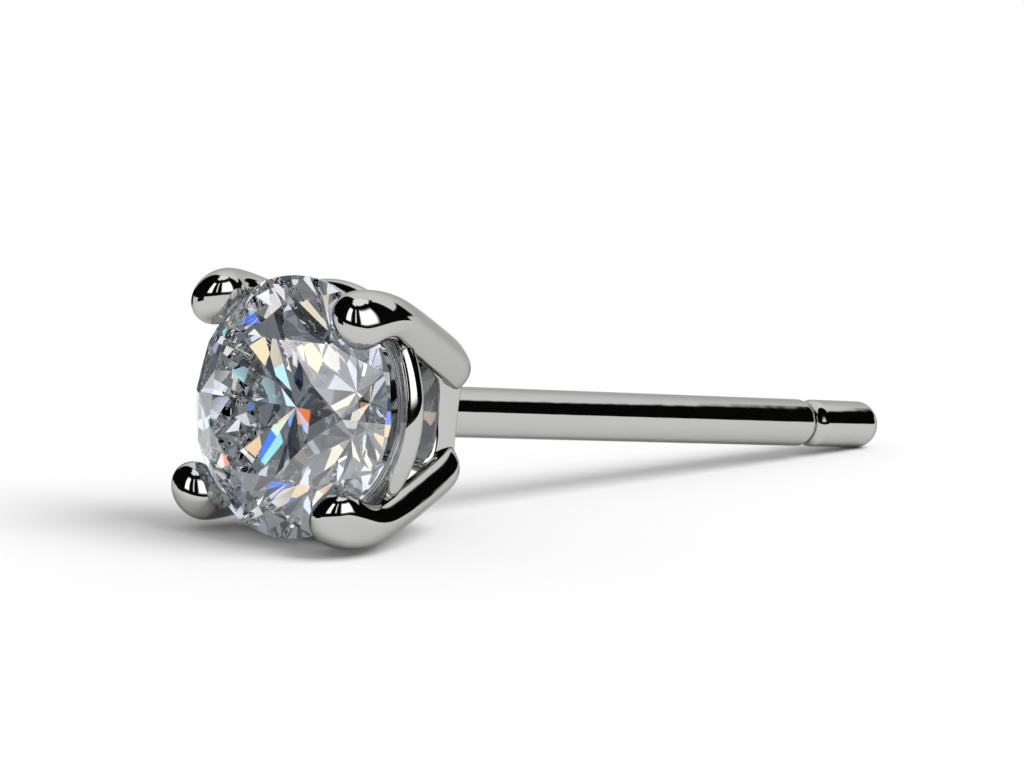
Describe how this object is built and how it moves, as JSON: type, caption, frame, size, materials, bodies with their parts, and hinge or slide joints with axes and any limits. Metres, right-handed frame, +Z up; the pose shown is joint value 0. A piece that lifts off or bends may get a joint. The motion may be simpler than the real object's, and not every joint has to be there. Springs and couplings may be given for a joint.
{
  "type": "stud earring",
  "caption": "Stud earring: a round brilliant stone held by prongs on an open basket, with a straight grooved post behind it.",
  "frame": {"origin": "on the surface that the stud lies on, under the middle of its box", "axes": "the stone faces -Y, the post runs back along +Y and slightly down, +X is across the stone, +Z is up"},
  "size_m": [0.004, 0.0154, 0.004],
  "materials": {
    "white_gold": "mirror-polished rhodium-plated white gold",
    "diamond": "clear faceted and polished"
  },
  "bodies": {
    "root": {"setting": "white_gold", "stone": "diamond"}
  },
  "joints": []
}
